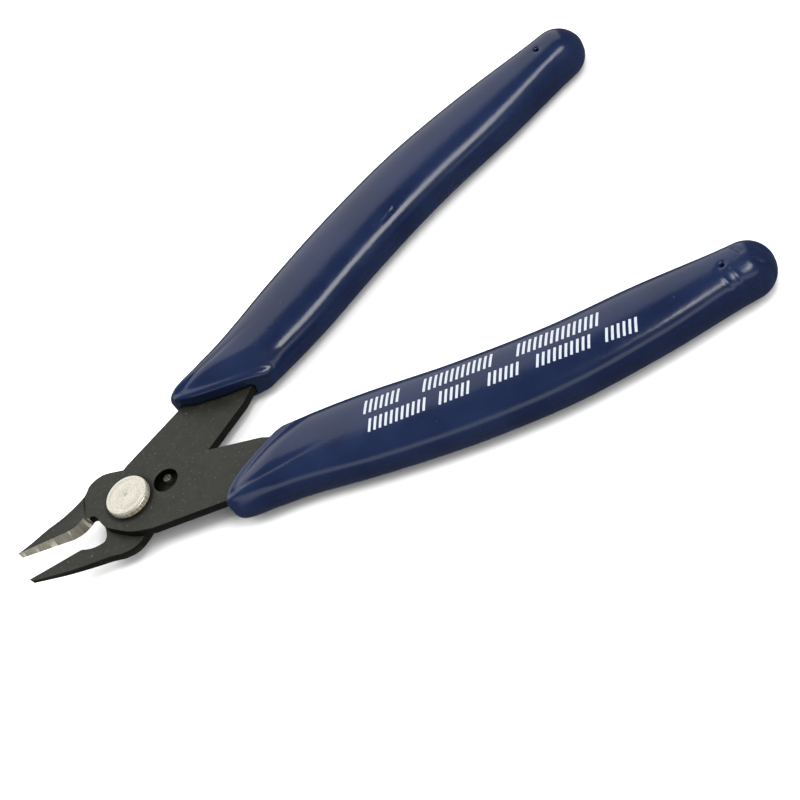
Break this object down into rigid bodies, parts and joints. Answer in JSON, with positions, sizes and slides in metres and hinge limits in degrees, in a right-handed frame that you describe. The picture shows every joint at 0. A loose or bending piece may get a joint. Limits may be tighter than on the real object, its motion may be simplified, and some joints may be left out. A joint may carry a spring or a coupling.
{
  "type": "flush cutter",
  "caption": "Slim sprung wire cutter: two crossed dark steel blades on a rivet, bent-up flush jaws, a wire return spring and dipped blue vinyl grips.",
  "frame": {"origin": "centre of the footprint, on the surface the tool lies on", "axes": "+X from the jaws to the grips, +Z along the pivot rivet, +Y to the rear half's handle"},
  "size_m": [0.124, 0.0742, 0.0079],
  "materials": {
    "black_steel": "black oxide over stamped carbon steel, matt, with bright ground cutting faces",
    "bright_steel": "bare turned steel",
    "spring_steel": "drawn spring wire, grey",
    "blue_vinyl": "dipped vinyl, navy, glossy and slightly uneven"
  },
  "bodies": {
    "front_half": {"front_blade": "black_steel", "front_grip": "blue_vinyl", "pivot_rivet": "bright_steel", "return_spring": "spring_steel"},
    "rear_half": {"rear_blade": "black_steel", "rear_grip": "blue_vinyl", "stop_pin": "spring_steel"}
  },
  "joints": [
    {"name": "handle_squeeze", "type": "hinge", "parent": "front_half", "child": "rear_half", "pos_m": [-0.04185, 0, 0.00397], "axis": [0, 0, 1], "range_deg": [-13.7, 0], "stiffness_Nm_per_rad": 1.5, "springref_deg": 11.46, "deforming": ["return_spring"]}
  ]
}
